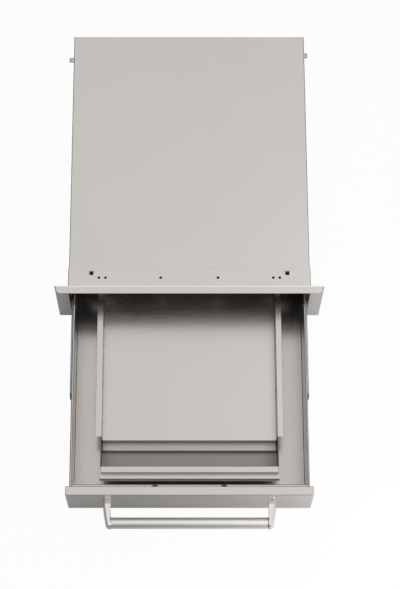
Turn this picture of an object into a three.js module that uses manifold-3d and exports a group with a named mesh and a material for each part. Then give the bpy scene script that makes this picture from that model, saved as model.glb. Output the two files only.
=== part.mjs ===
import * as THREE from "three";
import { mergeVertices } from "three/addons/utils/BufferGeometryUtils.js";
import Module from "manifold-3d";

const wasm = await Module();
wasm.setup();

// Every size is in millimetres. X runs across, the drawer opens toward -Y and Z is up.
// The origin is the middle of the underside of the housing floor.
// Places along the depth are counted back from the front face of the plate, or for the
// pieces of the drawer back from the front face of the drawer front.

// Small gaps that every piece keeps from the ones it is fixed to or runs beside.
const seatGap = 0.1;
const runPlay = 0.3;
const cutPast = 6;
const mergeStep = 0.001;

// Housing: a folded shell, a flat floor sheet under it and a back pan.
const housingHeight = 131.5;
const housingSheet = 1.2;
const housingFlange = 12;
const housingStart = 22;
const spaceBehindSlides = 76.5;

// Face frame: the flange plate, the collar ring that joins it to the housing, and the visor.
const plateWidth = 610;
const plateEar = 30;
const plateRise = 33;
const plateFall = 33;
const plateThick = 2;
const collarSheet = 1.5;
const collarDepth = 56.6;
const collarPlay = 0.1;
const openingPlay = 0.2;
const visorInset = 4;
const visorReach = 16;
const visorDrop = 10;
const visorSheet = 1.5;
const visorCorner = 10;
const frameHolePlaces = [65.4, 191.4, 206.2];
const frameHoleRadius = 3;
const frameHoleBack = 33.3;
const frameSlotPlace = 223.6;
const frameSlotSide = 8.5;
const frameSlotBack = 44;

// Drawer travel: what is left to open at rest, and the shares that the moving slide
// members and the ball cages follow it by.
const leftToOpen = 78;
const middleShare = 0.5;
const outerCageShare = 0.25;
const innerCageShare = 0.75;

// Drawer box: front pan, inner front, tub with outward rims, and back.
const frontReveal = 2.5;
const frontDepth = 20;
const frontSheet = 1;
const frontFlange = 14;
const tubSheet = 1.1;
const tubFloorTop = 13.8;
const tubRimBelow = 9.7;
const tubRimReach = 4.5;
const innerFrontBack = 26.4;
const innerFrontLipDrop = 1.6;
const rimNotchPlace = 76;
const rimNotchWidth = 11.5;

// Telescopic slide: three members of one sheet and two caged rows of balls in between.
const slideLength = 550;
const slideSpace = 12.7;
const slideSheet = 1.2;
const slideCentreHeight = 55.5;
const middleLead = 9.5;
const ballRadius = 2;
const raceClearance = 0.15;
const outerBallAcross = 5.4;
const outerBallRise = 18.6;
const ballLineAngle = 310.9;
const middleWebAcross = 3.4;
const foldRadius = 0.75;
const outerCornerRadius = 1.1;
const outerShoulder = 19.2;
const outerLipAngles = [160, 20];
const middleLipEnd = 55;
const innerLipEnd = 205;
const arcStep = 22;
const bumperReach = 9.5;
const bumperTail = 7.5;
const bumperThick = 4;
const bumperHalfHeight = 9;

// Ball cages.
const cageShortfall = 25;
const cageSheet = 0.5;
const cageBalls = 6;
const outerCageWebAcross = 2.05;
const outerCageRise = 17.8;
const innerCageWebAcross = 5;
const innerCageRise = 14.3;
const ballSegments = 8;
const ballRings = 6;

// Zinc brackets behind the slides, each with a pierced tab through the housing side.
const bracketSheet = 1.5;
const bracketLength = 74;
const bracketHalfHeight = 15;
const tabPlaces = { left: [47.8, 59.8], right: [59.2, 72.1] };
const tabReach = { left: 15.8, right: 13.2 };
const tabHoleRadius = 1.8;

// Inset pan on the drawer floor and the shallow tray that slides on its walls.
const panSheet = 1;
const channelWidth = 60.8;
const panWallTop = 79.2;
const panFrontAt = 78;
const panBackGap = 3;
const panBackInset = 2;
const panRimTop = 80.5;
const panRimInset = 1.4;
const panRimFront = 63;
const panLedgeTop = 66.9;
const panLedgeReach = 1.8;
const panLedgeFront = 51;
const panLipBottom = 48.4;
const traySheet = 1;
const trayPlay = 0.8;
const trayRimReach = 11.3;
const trayRimTop = 80.5;
const trayFloorTop = 46.7;
const trayStart = 145.3;
const trayBackGap = 60;
const trayStepHold = 12;
const trayLedgeTop = 28.5;
const trayLedgeFront = 126;

// Handle: a round bar between two posts, held by screws from inside the front. Each post
// is flat on its inner side, with a low boss at the bar, and its outer side is an arc.
const barRadius = 12.5;
const barHalfLength = 173.3;
const barStandOff = 50.2;
const handleHeight = 74.5;
const barSegments = 32;
const bossRadius = 14.1;
const bossLength = 1.6;
const postBaseWidth = 18.1;
const postBowWidth = 15.5;
const postShoulderWidth = 10.2;
const postReach = 63.8;
const postCorner = 9.5;
const postHeight = 26;
const postSideRadius = 18.6;
const postLevels = 8;
const postCurveSteps = 8;
const screwFromBar = 9;
const screwRadius = 2.5;
const screwDepth = 16;
const screwHeadRadius = 4.5;
const screwHeadThick = 3;
const screwSegments = 16;

// Derived sizes.
const slideStart = housingStart;
const slideEnd = slideStart + slideLength;
const fullTravel = slideLength;
const openAtRest = fullTravel - leftToOpen;
const cageLength = slideLength / 2 - cageShortfall;
const floorStart = collarDepth + runPlay;
const housingEnd = slideEnd + spaceBehindSlides;
const frontY = -(floorStart + housingEnd) / 2;
const drawerY = frontY - openAtRest;
const housingHalf = plateWidth / 2 - plateEar;
const wallInside = housingHalf - housingSheet;
const plateTop = housingHeight + plateRise;
const plateBottom = -plateFall;
const visorHalfWidth = plateWidth / 2 - visorInset;
const collarInside = housingHalf + collarPlay;
const collarOutside = collarInside + collarSheet;
const collarInsideBottom = -collarPlay;
const collarInsideTop = housingHeight + collarPlay;
const frontHalf = housingHalf - frontReveal;
const frontBase = frontReveal;
const frontTop = housingHeight - frontReveal;
const tubHalfWidth = wallInside - slideSpace;
const tubInside = tubHalfWidth - tubSheet;
const tubRimTop = housingHeight - tubRimBelow;
const panHalfWidth = tubInside - channelWidth;
const panEnd = slideEnd - panBackGap;
const trayHalfInside = panHalfWidth - panSheet - trayPlay - traySheet;
const trayEnd = slideEnd - trayBackGap;
const bossStart = barHalfLength + seatGap;
const postStart = bossStart + bossLength;
const screwPlace = postStart + screwFromBar;
const halfSheet = slideSheet / 2;
const raceRadius = ballRadius + raceClearance + halfSheet;
const ballLine = ballLineAngle * (Math.PI / 180);
const innerBallAcross = outerBallAcross + 2 * raceRadius * Math.cos(ballLine);
const innerBallRise = outerBallRise + 2 * raceRadius * Math.sin(ballLine);
const outerWebAcross = seatGap + halfSheet;
const innerWebAcross = wallInside - tubHalfWidth - seatGap - halfSheet;

const finishes = {
  shellSteel: { color: 0xc9c4c0, roughness: 0.38, metalness: 0.85 },
  frameSteel: { color: 0xcfcac6, roughness: 0.34, metalness: 0.9 },
  drawerSteel: { color: 0xc4c0bd, roughness: 0.36, metalness: 0.88 },
  panSteel: { color: 0xb9b7b5, roughness: 0.32, metalness: 0.9 },
  zincSteel: { color: 0xa9b2ba, roughness: 0.42, metalness: 0.85 },
  ballSteel: { color: 0xd2d4d6, roughness: 0.18, metalness: 1 },
  polishedSteel: { color: 0xd8d5d2, roughness: 0.2, metalness: 1 },
  darkPlastic: { color: 0x2b2c2e, roughness: 0.6, metalness: 0 },
};

const sides = [
  ["left", -1],
  ["right", 1],
];
const group = new THREE.Group();

// Turns a three.js geometry into a solid that can be joined and cut.
function solidFrom(geometry) {
  const bare = geometry.clone();
  bare.deleteAttribute("normal");
  bare.deleteAttribute("uv");
  const merged = mergeVertices(bare, mergeStep);
  const mesh = new wasm.Mesh({
    numProp: 3,
    vertProperties: merged.attributes.position.array,
    triVerts: new Uint32Array(merged.index.array),
  });
  return new wasm.Manifold(mesh);
}

// Adds one named piece to the group.
function addPiece(name, solid, finish) {
  const mesh = solid.getMesh();
  const places = new Float32Array(mesh.numVert * 3);
  for (let i = 0; i < mesh.numVert; i++) {
    const start = i * mesh.numProp;
    places.set(mesh.vertProperties.subarray(start, start + 3), i * 3);
  }
  const geometry = new THREE.BufferGeometry();
  geometry.setAttribute("position", new THREE.BufferAttribute(places, 3));
  geometry.setIndex(new THREE.BufferAttribute(mesh.triVerts, 1));
  geometry.computeVertexNormals();
  const piece = new THREE.Mesh(geometry, new THREE.MeshStandardMaterial(finish));
  piece.name = name;
  group.add(piece);
}

// A block between two places on each axis.
function block([x0, x1], [y0, y1], [z0, z1]) {
  const made = new THREE.BoxGeometry(x1 - x0, y1 - y0, z1 - z0);
  made.translate((x0 + x1) / 2, (y0 + y1) / 2, (z0 + z1) / 2);
  return solidFrom(made);
}

// An outline drawn in the plane across an axis and drawn out between two places on it.
// Across Y the outline holds x and z, across X it holds y and z, across Z it holds x and y.
function prism(outline, axis, from, to) {
  const shape = new THREE.Shape(outline.map(([a, b]) => new THREE.Vector2(a, b)));
  const made = new THREE.ExtrudeGeometry(shape, {
    depth: to - from,
    bevelEnabled: false,
    steps: 1,
  });
  const x = new THREE.Vector3(1, 0, 0);
  const y = new THREE.Vector3(0, 1, 0);
  const z = new THREE.Vector3(0, 0, 1);
  const turn = new THREE.Matrix4();
  if (axis === "y") {
    turn.makeBasis(x, z, y.clone().negate());
    turn.setPosition(0, to, 0);
  } else if (axis === "x") {
    turn.makeBasis(y, z, x);
    turn.setPosition(from, 0, 0);
  } else {
    turn.setPosition(0, 0, from);
  }
  return solidFrom(made.applyMatrix4(turn));
}

// A round bar along one axis.
function rod(axis, radius, from, to, [a, b], segments) {
  const outline = [];
  for (let i = 0; i < segments; i++) {
    const angle = ((i + 0.5) / segments) * 2 * Math.PI;
    outline.push([a + radius * Math.cos(angle), b + radius * Math.sin(angle)]);
  }
  return prism(outline, axis, from, to);
}

// Points on an arc, angles in degrees.
function arc([a, b], radius, from, to) {
  const steps = Math.max(2, Math.ceil(Math.abs(to - from) / arcStep));
  const points = [];
  for (let i = 0; i <= steps; i++) {
    const angle = (from + ((to - from) * i) / steps) * (Math.PI / 180);
    points.push([a + radius * Math.cos(angle), b + radius * Math.sin(angle)]);
  }
  return points;
}

// The outline of a folded sheet, from the line through the middle of its thickness.
function foldedSheet(line, sheet) {
  const kept = line.filter((p, i) => {
    const before = line[i - 1];
    return i === 0 || Math.hypot(p[0] - before[0], p[1] - before[1]) > mergeStep;
  });
  const directions = kept.slice(1).map((p, i) => {
    const along = new THREE.Vector2(p[0] - kept[i][0], p[1] - kept[i][1]);
    return along.normalize();
  });
  const one = [];
  const other = [];
  kept.forEach(([a, b], i) => {
    const before = directions[Math.max(i - 1, 0)];
    const after = directions[Math.min(i, directions.length - 1)];
    const mid = before.clone().add(after).normalize();
    const reach = sheet / 2 / mid.dot(after);
    one.push([a - mid.y * reach, b + mid.x * reach]);
    other.unshift([a + mid.y * reach, b - mid.x * reach]);
  });
  return one.concat(other);
}

const joinAll = (solids) => solids.reduce((all, next) => all.add(next));
const cutAll = (solid, cutters) => cutters.reduce((all, next) => all.subtract(next), solid);
const both = (half) => [-half, half];
const fromFront = (a, b) => [frontY + a, frontY + b];
const fromDrawer = (a, b) => [drawerY + a, drawerY + b];

// Holes and slots that pass through the top of the collar and of the housing.
const frameCutHeights = [housingHeight - cutPast, housingHeight + cutPast];
const frameCuts = [];
for (const [, sign] of sides) {
  for (const place of frameHolePlaces) {
    const centre = [sign * place, frontY + frameHoleBack];
    const heights = frameCutHeights;
    frameCuts.push(rod("z", frameHoleRadius, heights[0], heights[1], centre, screwSegments));
  }
  const middle = sign * frameSlotPlace;
  const half = frameSlotSide / 2;
  frameCuts.push(
    block(
      [middle - half, middle + half],
      fromFront(frameSlotBack - half, frameSlotBack + half),
      frameCutHeights,
    ),
  );
}

// Housing shell: top, sides and the in-turned flanges that lie on the floor sheet.
const shellFlangeMid = housingSheet + seatGap + housingSheet / 2;
const shellSideMid = housingHalf - housingSheet / 2;
const shellTopMid = housingHeight - housingSheet / 2;
const shellLine = [
  [housingFlange - housingHalf, shellFlangeMid],
  [-shellSideMid, shellFlangeMid],
  [-shellSideMid, shellTopMid],
  [shellSideMid, shellTopMid],
  [shellSideMid, shellFlangeMid],
  [housingHalf - housingFlange, shellFlangeMid],
];
const tabHeights = both(bracketSheet / 2).map((half) => slideCentreHeight + half);
const tabCuts = sides.map(([side, sign]) =>
  block(
    both(cutPast).map((reach) => sign * housingHalf + reach),
    fromFront(slideEnd + tabPlaces[side][0] - runPlay, slideEnd + tabPlaces[side][1] + runPlay),
    [tabHeights[0] - runPlay, tabHeights[1] + runPlay],
  ),
);
const shellBody = prism(
  foldedSheet(shellLine, housingSheet),
  "y",
  frontY + housingStart,
  frontY + housingEnd,
);
addPiece(
  "housing_shell",
  cutAll(shellBody, frameCuts.concat(tabCuts)),
  finishes.shellSteel,
);
addPiece(
  "housing_floor",
  block(both(housingHalf), fromFront(floorStart, housingEnd), [0, housingSheet]),
  finishes.shellSteel,
);

// Back pan: a sheet with forward flanges, inside the shell at its rear end. Its side
// flanges are notched for the brackets behind the slides.
const backHalf = wallInside - seatGap;
const backBottom = 2 * (housingSheet + seatGap) + seatGap;
const backTop = housingHeight - housingSheet - seatGap;
const backOuter = block(
  both(backHalf),
  fromFront(housingEnd - housingFlange, housingEnd),
  [backBottom, backTop],
);
const backInner = block(
  both(backHalf - housingSheet),
  fromFront(housingEnd - housingFlange - cutPast, housingEnd - housingSheet),
  [backBottom + housingSheet, backTop - housingSheet],
);
const bracketHeights = both(bracketHalfHeight).map((half) => slideCentreHeight + half);
const bracketNotch = block(
  both(backHalf + cutPast),
  fromFront(housingEnd - housingFlange - cutPast, housingEnd - housingSheet),
  [bracketHeights[0] - runPlay, bracketHeights[1] + runPlay],
);
addPiece(
  "housing_back",
  cutAll(backOuter, [backInner, bracketNotch]),
  finishes.shellSteel,
);

// Collar ring round the front of the housing, flush with the front face of the plate.
const collarHeights = [collarInsideBottom - collarSheet, collarInsideTop + collarSheet];
const collarOuter = block(both(collarOutside), fromFront(0, collarDepth), collarHeights);
const collarInner = block(
  both(collarInside),
  fromFront(-cutPast, collarDepth + cutPast),
  [collarInsideBottom, collarInsideTop],
);
addPiece("frame_collar", cutAll(collarOuter, [collarInner, ...frameCuts]), finishes.frameSteel);

// Flange plate round the collar.
const plateBlock = block(
  both(plateWidth / 2),
  fromFront(0, plateThick),
  [plateBottom, plateTop],
);
const plateOpening = block(
  both(collarOutside + openingPlay),
  fromFront(-cutPast, plateThick + cutPast),
  [collarHeights[0] - openingPlay, collarHeights[1] + openingPlay],
);
addPiece("face_frame", plateBlock.subtract(plateOpening), finishes.frameSteel);

// Rain visor: an angle on the plate, its leaf level with the plate's top edge.
const visorEnd = visorHalfWidth - visorCorner;
const visorFront = frontY - visorReach;
const visorPlan = [
  [-visorHalfWidth, frontY - seatGap],
  ...arc([-visorEnd, visorFront + visorCorner], visorCorner, 180, 270),
  ...arc([visorEnd, visorFront + visorCorner], visorCorner, 270, 360),
  [visorHalfWidth, frontY - seatGap],
];
const visorLeaf = prism(visorPlan, "z", plateTop - visorSheet, plateTop);
const visorFoot = block(
  both(visorHalfWidth),
  [frontY - seatGap - visorSheet, frontY - seatGap],
  [plateTop - visorDrop, plateTop],
);
addPiece("rain_visor", visorLeaf.add(visorFoot), finishes.frameSteel);

// Telescopic slides. The upper half of each section is drawn as one line through the
// sheet, and the lower half mirrors it: across is counted from the housing wall.
const outerBall = [outerBallAcross, outerBallRise];
const innerBall = [innerBallAcross, innerBallRise];
const foldReach = raceRadius + foldRadius;
const middleFoldAcross = middleWebAcross + foldRadius;
const middleFoldBack = outerBallAcross - middleFoldAcross;
const middleFoldDrop = Math.sqrt(foldReach ** 2 - middleFoldBack ** 2);
const middleFoldAngle = Math.atan2(middleFoldDrop, middleFoldBack) * (180 / Math.PI);
const innerFoldAcross = innerWebAcross - foldRadius;
const innerFoldBack = innerBallAcross - innerFoldAcross;
const innerFoldDrop = Math.sqrt(foldReach ** 2 - innerFoldBack ** 2);
const innerFoldAngle = Math.atan2(innerFoldDrop, innerFoldBack) * (180 / Math.PI);
const outerCorner = [
  outerWebAcross + outerCornerRadius,
  outerShoulder - outerCornerRadius,
];
const outerLine = [
  ...arc(outerCorner, outerCornerRadius, 180, 90),
  ...arc(outerBall, raceRadius, outerLipAngles[0], outerLipAngles[1]),
];
const middleLine = [
  ...arc([middleFoldAcross, outerBallRise - middleFoldDrop], foldRadius, 180, middleFoldAngle),
  ...arc(outerBall, raceRadius, 180 + middleFoldAngle, ballLineAngle),
  ...arc(innerBall, raceRadius, ballLineAngle - 180, middleLipEnd),
];
const innerLine = [
  ...arc([innerFoldAcross, innerBallRise - innerFoldDrop], foldRadius, 0, innerFoldAngle),
  ...arc(innerBall, raceRadius, 180 + innerFoldAngle, innerLipEnd),
];

// A slide member or cage: the half line mirrored, placed beside one wall and drawn out.
function member(line, sheet, sign, start, length) {
  const mirrored = line.map(([across, rise]) => [across, -rise]).reverse();
  const outline = foldedSheet(mirrored.concat(line), sheet).map(([across, rise]) => [
    sign * (wallInside - across),
    slideCentreHeight + rise,
  ]);
  return prism(outline, "y", start, start + length);
}

const middleStart = frontY + slideStart - middleLead - middleShare * openAtRest;
const middleEndFullyOut = slideStart - middleLead + slideLength - middleShare * fullTravel;
const cageMiddleShut = (slideStart + middleEndFullyOut) / 2 + outerCageShare * fullTravel;
const cageStartShut = frontY + cageMiddleShut - cageLength / 2;

// A ball cage: the thin channel with its balls held in the edges.
function ballCage(webAcross, cageRise, [across, rise], sign, start) {
  const line = [
    [webAcross, cageRise],
    [across, cageRise],
  ];
  const solids = [member(line, cageSheet, sign, start, cageLength)];
  const pitch = cageLength / cageBalls;
  for (let i = 0; i < cageBalls; i++) {
    for (const height of both(rise)) {
      const ball = new THREE.SphereGeometry(ballRadius, ballSegments, ballRings);
      const along = start + (i + 0.5) * pitch;
      ball.translate(sign * (wallInside - across), along, slideCentreHeight + height);
      solids.push(solidFrom(ball));
    }
  }
  return joinAll(solids);
}

for (const [side, sign] of sides) {
  addPiece(
    "slide_outer_" + side,
    member(outerLine, slideSheet, sign, frontY + slideStart, slideLength),
    finishes.zincSteel,
  );
  addPiece(
    "slide_middle_" + side,
    member(middleLine, slideSheet, sign, middleStart, slideLength),
    finishes.zincSteel,
  );
  addPiece(
    "slide_inner_" + side,
    member(innerLine, slideSheet, sign, drawerY + slideStart, slideLength),
    finishes.zincSteel,
  );
  const outerCageStart = cageStartShut - outerCageShare * openAtRest;
  addPiece(
    "ball_cage_outer_" + side,
    ballCage(outerCageWebAcross, outerCageRise, outerBall, sign, outerCageStart),
    finishes.ballSteel,
  );
  const innerCageStart = cageStartShut - innerCageShare * openAtRest;
  addPiece(
    "ball_cage_inner_" + side,
    ballCage(innerCageWebAcross, innerCageRise, innerBall, sign, innerCageStart),
    finishes.ballSteel,
  );

  // Plastic bumper on the nose of the middle member, with a tongue inside its channel.
  const noseAcross = middleWebAcross - halfSheet;
  const tongueAcross = middleWebAcross + halfSheet + seatGap;
  const bumperHeights = both(bumperHalfHeight).map((half) => slideCentreHeight + half);
  const acrossRange = (a, b) => [a, b].map((v) => sign * (wallInside - v)).sort((m, n) => m - n);
  const bumperEnd = noseAcross + bumperThick;
  const nose = block(
    acrossRange(noseAcross, bumperEnd),
    [middleStart - bumperReach, middleStart - seatGap],
    bumperHeights,
  );
  const tongue = block(
    acrossRange(tongueAcross, bumperEnd),
    [middleStart - bumperReach, middleStart + bumperTail],
    bumperHeights,
  );
  addPiece("slide_bumper_" + side, nose.add(tongue), finishes.darkPlastic);

  // Zinc bracket behind the outer member, with its pierced tab through the housing side.
  const bracketStart = slideEnd + seatGap;
  const bracketFoot = block(
    acrossRange(seatGap, seatGap + bracketSheet),
    fromFront(bracketStart, bracketStart + bracketLength),
    bracketHeights,
  );
  const [tabFrom, tabTo] = tabPlaces[side].map((place) => slideEnd + place);
  const tab = block(
    acrossRange(seatGap, -housingSheet - tabReach[side]),
    fromFront(tabFrom, tabTo),
    tabHeights,
  );
  const tabCentre = [
    sign * (housingHalf + tabReach[side] / 2),
    frontY + (tabFrom + tabTo) / 2,
  ];
  const tabHole = rod(
    "z",
    tabHoleRadius,
    tabHeights[0] - cutPast,
    tabHeights[1] + cutPast,
    tabCentre,
    screwSegments,
  );
  addPiece(
    "slide_rear_bracket_" + side,
    bracketFoot.add(tab).subtract(tabHole),
    finishes.zincSteel,
  );
}

// Drawer front: a hollow pan, closed in front, with flanges turned in at its back along
// the top and the bottom only, so that the noses of the slides can enter at the sides.
const frontOuter = block(both(frontHalf), fromDrawer(0, frontDepth), [frontBase, frontTop]);
const frontHollow = block(
  both(frontHalf - frontSheet),
  fromDrawer(frontSheet, frontDepth - frontSheet),
  [frontBase + frontSheet, frontTop - frontSheet],
);
const frontMouth = block(
  both(frontHalf - frontSheet),
  fromDrawer(frontDepth / 2, frontDepth + cutPast),
  [frontBase + frontFlange, frontTop - frontFlange],
);
const screwCentres = sides.map(([, sign]) => [sign * screwPlace, handleHeight]);
const screwCuts = screwCentres.map((centre) =>
  rod(
    "y",
    screwRadius + seatGap,
    drawerY - screwDepth - seatGap,
    drawerY + frontDepth / 2,
    [centre[0], centre[1]],
    screwSegments,
  ),
);
addPiece(
  "drawer_front",
  cutAll(frontOuter, [frontHollow, frontMouth, ...screwCuts]),
  finishes.drawerSteel,
);

// Tub: floor, two sides and their outward rims, folded from one sheet.
const tubSideMid = tubHalfWidth - tubSheet / 2;
const tubRimMid = tubRimTop - tubSheet / 2;
const tubFloorMid = tubFloorTop - tubSheet / 2;
const tubLine = [
  [-tubHalfWidth - tubRimReach, tubRimMid],
  [-tubSideMid, tubRimMid],
  [-tubSideMid, tubFloorMid],
  [tubSideMid, tubFloorMid],
  [tubSideMid, tubRimMid],
  [tubHalfWidth + tubRimReach, tubRimMid],
];
addPiece(
  "drawer_tub",
  prism(foldedSheet(tubLine, tubSheet), "y", drawerY + slideStart, drawerY + slideEnd),
  finishes.drawerSteel,
);

// Inner front: a panel between the tub's sides, its rim turned forward to the front pan.
const panelHalf = tubInside - seatGap;
const innerFrontTop = tubRimTop - innerFrontLipDrop;
const innerFrontBottom = tubFloorTop + seatGap;
const innerFrontMid = innerFrontBack - tubSheet / 2;
const rimMeets = frontDepth + seatGap;
const innerFrontLine = [
  [rimMeets, innerFrontTop - tubSheet / 2],
  [innerFrontMid, innerFrontTop - tubSheet / 2],
  [innerFrontMid, innerFrontBottom + tubSheet / 2],
  [rimMeets, innerFrontBottom + tubSheet / 2],
].map(([back, height]) => [drawerY + back, height]);
const rimNotches = sides.map(([, sign]) =>
  block(
    both(rimNotchWidth / 2).map((half) => sign * rimNotchPlace + half),
    fromDrawer(rimMeets - cutPast, innerFrontBack - tubSheet),
    both(cutPast).map((half) => innerFrontTop + half),
  ),
);
addPiece(
  "drawer_inner_front",
  cutAll(
    prism(foldedSheet(innerFrontLine, tubSheet), "x", -panelHalf, panelHalf),
    rimNotches,
  ),
  finishes.drawerSteel,
);
addPiece(
  "drawer_back",
  block(
    both(panelHalf),
    fromDrawer(slideEnd - tubSheet, slideEnd),
    [innerFrontBottom, innerFrontTop],
  ),
  finishes.drawerSteel,
);

// Inset pan: floor and side walls from one sheet, a stepped front and a back wall.
const panBottom = tubFloorTop + seatGap;
const panFloorTop = panBottom + panSheet;
const panSideMid = panHalfWidth - panSheet / 2;
const panLine = [
  [-panSideMid, panWallTop],
  [-panSideMid, panBottom + panSheet / 2],
  [panSideMid, panBottom + panSheet / 2],
  [panSideMid, panWallTop],
];
const panWallBottom = panFloorTop + seatGap;
const panInside = panHalfWidth - panSheet - seatGap;
addPiece(
  "pan_tub",
  prism(
    foldedSheet(panLine, panSheet),
    "y",
    drawerY + panFrontAt - panSheet,
    drawerY + panEnd,
  ),
  finishes.panSteel,
);
addPiece(
  "pan_back",
  block(
    both(panInside),
    fromDrawer(panEnd - panBackInset, panEnd - panBackInset + panSheet),
    [panWallBottom, panWallTop],
  ),
  finishes.panSteel,
);
const panRimMid = panRimTop - panSheet / 2;
const panLedgeMid = panLedgeTop - panSheet / 2;
const panWallMid = panFrontAt - panSheet / 2;
const panStepMid = panRimFront + panSheet / 2;
const panLipMid = panLedgeFront + panSheet / 2;
const panRimLine = [
  [panWallMid, panWallBottom],
  [panWallMid, panRimMid],
  [panStepMid, panRimMid],
  [panStepMid, panLedgeTop - panSheet],
].map(([back, height]) => [drawerY + back, height]);
const panLedgeLine = [
  [panStepMid + panSheet / 2, panLedgeMid],
  [panLipMid, panLedgeMid],
  [panLipMid, panLipBottom],
].map(([back, height]) => [drawerY + back, height]);
const panRimHalf = panHalfWidth - panRimInset;
const panLedgeHalf = panHalfWidth + panLedgeReach;
const panRim = prism(foldedSheet(panRimLine, panSheet), "x", -panRimHalf, panRimHalf);
const panLedge = prism(
  foldedSheet(panLedgeLine, panSheet),
  "x",
  -panLedgeHalf,
  panLedgeHalf,
);
addPiece("pan_front", panRim.add(panLedge), finishes.panSteel);

// Tray: a hat section that rides on the pan's walls, with a stepped front edge.
const traySideMid = trayHalfInside + traySheet / 2;
const trayRimMid = trayRimTop - traySheet / 2;
const trayFloorMid = trayFloorTop - traySheet / 2;
const trayRimHalf = panHalfWidth + trayRimReach;
const trayLine = [
  [-trayRimHalf, trayRimMid],
  [-traySideMid, trayRimMid],
  [-traySideMid, trayFloorMid],
  [traySideMid, trayFloorMid],
  [traySideMid, trayRimMid],
  [trayRimHalf, trayRimMid],
];
addPiece(
  "tray_channel",
  prism(foldedSheet(trayLine, traySheet), "y", drawerY + trayStart, drawerY + trayEnd),
  finishes.panSteel,
);
const trayHoldMid = trayFloorTop - traySheet - seatGap - traySheet / 2;
const trayStepMid = trayStart + traySheet / 2;
const trayStepLine = [
  [trayStepMid + trayStepHold, trayHoldMid],
  [trayStepMid, trayHoldMid],
  [trayStepMid, trayLedgeTop - traySheet / 2],
  [trayLedgeFront, trayLedgeTop - traySheet / 2],
].map(([back, height]) => [drawerY + back, height]);
addPiece(
  "tray_front_step",
  prism(foldedSheet(trayStepLine, traySheet), "x", -trayHalfInside, trayHalfInside),
  finishes.panSteel,
);

// Handle: the bar, its two bowed posts and the screws that hold them.
const barCentre = [drawerY - barStandOff, handleHeight];
addPiece(
  "handle_bar",
  rod("x", barRadius, -barHalfLength, barHalfLength, barCentre, barSegments),
  finishes.polishedSteel,
);
const postShoulderReach = postReach - postCorner;
const postCurve = new THREE.QuadraticBezierCurve(
  new THREE.Vector2(postStart + postBaseWidth, -seatGap),
  new THREE.Vector2(postStart + postBowWidth, -postShoulderReach / 2),
  new THREE.Vector2(postStart + postShoulderWidth, -postShoulderReach),
);
const tipCorner = [postStart + postShoulderWidth - postCorner, -postShoulderReach];
const postPoints = [];
for (let step = 0; step <= postLevels; step++) {
  const level = (step / postLevels - 1 / 2) * postHeight;
  const drawnIn = postSideRadius - Math.sqrt(postSideRadius ** 2 - level ** 2);
  const plan = [
    [postStart, drawnIn - postReach],
    [postStart, -seatGap],
    ...postCurve.getPoints(postCurveSteps).map((p) => [p.x - drawnIn, p.y]),
    ...arc(tipCorner, postCorner - drawnIn, 0, -90).filter(([across]) => across > postStart),
  ];
  postPoints.push(...plan.map(([across, reach]) => [across, reach, level]));
}
for (const [index, [side, sign]] of sides.entries()) {
  const placed = postPoints.map(([across, reach, level]) => [
    sign * across,
    drawerY + reach,
    handleHeight + level,
  ]);
  const boss = rod("x", bossRadius, bossStart, postStart + seatGap, barCentre, barSegments);
  const placedBoss = sign > 0 ? boss : boss.mirror([1, 0, 0]);
  addPiece(
    "handle_post_" + side,
    wasm.Manifold.hull(placed).add(placedBoss).subtract(screwCuts[index]),
    finishes.polishedSteel,
  );
  const headFrom = frontSheet + seatGap;
  const shank = rod(
    "y",
    screwRadius,
    drawerY - screwDepth,
    drawerY + headFrom + screwHeadThick / 2,
    screwCentres[index],
    screwSegments,
  );
  const head = rod(
    "y",
    screwHeadRadius,
    drawerY + headFrom,
    drawerY + headFrom + screwHeadThick,
    screwCentres[index],
    screwSegments,
  );
  addPiece("handle_screw_" + side, shank.add(head), finishes.zincSteel);
}

export default group;
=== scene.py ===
import math

import bmesh
import bpy
import numpy as np
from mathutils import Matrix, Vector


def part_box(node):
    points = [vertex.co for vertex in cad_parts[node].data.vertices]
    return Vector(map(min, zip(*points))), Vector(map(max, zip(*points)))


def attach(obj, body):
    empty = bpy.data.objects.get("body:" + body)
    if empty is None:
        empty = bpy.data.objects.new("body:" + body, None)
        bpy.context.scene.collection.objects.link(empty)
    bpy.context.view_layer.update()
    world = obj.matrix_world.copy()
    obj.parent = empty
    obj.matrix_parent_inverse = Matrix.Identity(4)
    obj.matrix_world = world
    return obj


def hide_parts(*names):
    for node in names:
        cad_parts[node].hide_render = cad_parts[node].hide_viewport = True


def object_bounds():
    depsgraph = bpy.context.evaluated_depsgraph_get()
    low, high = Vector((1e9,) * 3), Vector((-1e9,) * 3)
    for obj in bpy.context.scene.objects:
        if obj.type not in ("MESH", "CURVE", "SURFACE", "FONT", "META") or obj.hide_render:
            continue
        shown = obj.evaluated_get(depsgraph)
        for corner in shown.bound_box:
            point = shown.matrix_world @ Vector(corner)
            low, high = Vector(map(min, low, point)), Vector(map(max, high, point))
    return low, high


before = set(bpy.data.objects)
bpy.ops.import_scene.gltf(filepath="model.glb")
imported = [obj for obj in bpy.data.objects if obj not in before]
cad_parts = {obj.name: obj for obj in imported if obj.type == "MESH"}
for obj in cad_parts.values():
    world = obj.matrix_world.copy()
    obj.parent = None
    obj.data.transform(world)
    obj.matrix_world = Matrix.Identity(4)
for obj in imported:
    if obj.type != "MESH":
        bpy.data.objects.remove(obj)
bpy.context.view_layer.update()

scene = bpy.context.scene
MM = 0.001
X, Y, Z = 0, 1, 2
SIDES = (("left", -1), ("right", 1))


# Camera: a long lens high in front of the open drawer, square to the face plate. Its
# place is measured from the middle of the plate's top front edge.
def corners_of(node):
    """A CAD node's lowest and highest corners as arrays."""
    return (np.array(corner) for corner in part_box(node))


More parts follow.
